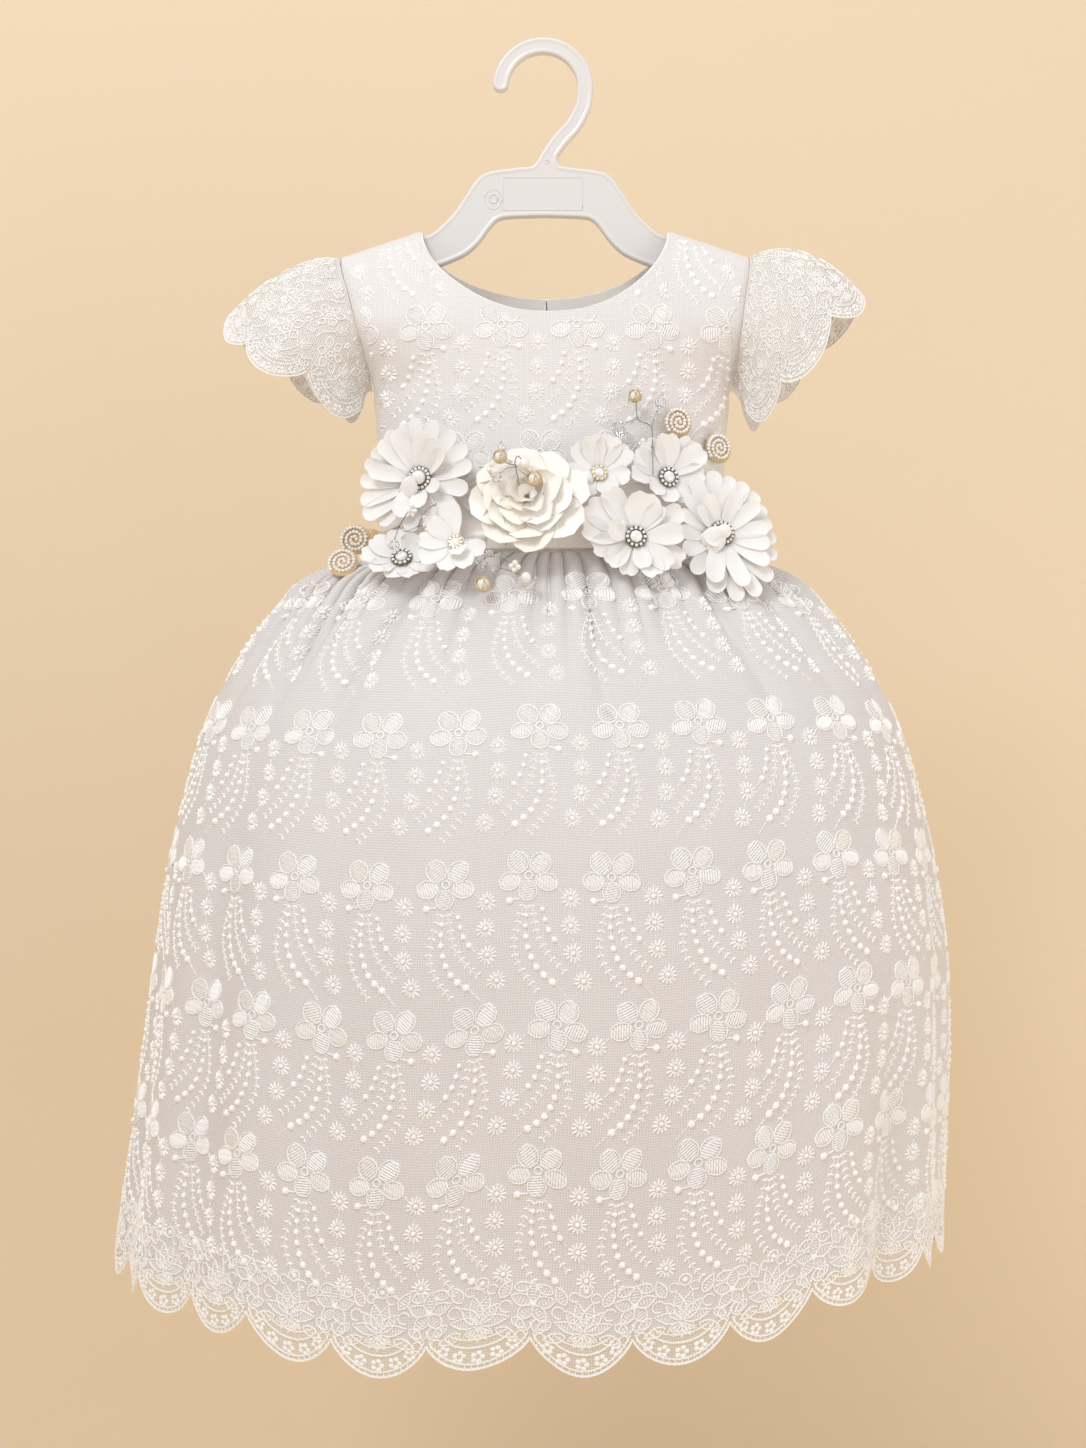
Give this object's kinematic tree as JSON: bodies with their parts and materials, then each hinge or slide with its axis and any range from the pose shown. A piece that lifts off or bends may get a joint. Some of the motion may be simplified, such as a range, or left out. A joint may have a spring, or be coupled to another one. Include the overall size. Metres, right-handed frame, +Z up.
{
  "type": "christening gown on a hanger",
  "caption": "Baby's white christening gown of embroidered net, with cap sleeves, a full gathered skirt and a belt of fabric flowers, hung on a child's moulded hanger.",
  "frame": {"origin": "the top of the inside of the hanger's hook, where a rail carries it", "axes": "+Z up, +Y to the back of the gown, +X to the right as seen from the front"},
  "size_m": [0.485, 0.3394, 0.7424],
  "materials": {
    "plastic": "satin moulded",
    "lace_over_satin": "embroidered net over satin",
    "corded_lace": "corded lace on net",
    "satin": "satin",
    "white_silk": "pressed silk petals",
    "cream_silk": "pressed silk petals",
    "crystal": "set crystals and pearls",
    "pearl": "pearl",
    "beaded_cord": "seed beads on cord",
    "beige_ribbon": "mesh"
  },
  "bodies": {
    "root": {"hanger": "plastic", "bodice_front": "lace_over_satin", "bodice_back_left": "lace_over_satin", "bodice_back_right": "lace_over_satin", "skirt_front": "lace_over_satin", "skirt_back": "lace_over_satin", "sleeve_left": "corded_lace", "sleeve_right": "corded_lace", "neck_facing_left": "satin", "neck_facing_right": "satin", "back_placket": "satin", "belt": "satin", "daisy_left": "white_silk", "blossom_left": "white_silk", "blossom_low_left": "white_silk", "blossom_top": "white_silk", "blossom_right": "white_silk", "cosmos": "white_silk", "daisy_right": "white_silk", "blossom_behind": "white_silk", "rose": "cream_silk", "daisy_left_jewel": "crystal", "blossom_left_jewel": "crystal", "blossom_low_left_jewel": "crystal", "blossom_top_jewel": "crystal", "blossom_right_jewel": "crystal", "cosmos_jewel": "crystal", "daisy_right_jewel": "crystal", "button_1": "pearl", "button_2": "pearl", "button_3": "pearl", "button_4": "pearl", "rosette_right_1": "beaded_cord", "rosette_right_2": "beaded_cord", "rosette_left_1": "beaded_cord", "rosette_left_2": "beaded_cord", "ribbon_left": "beige_ribbon"}
  },
  "joints": []
}
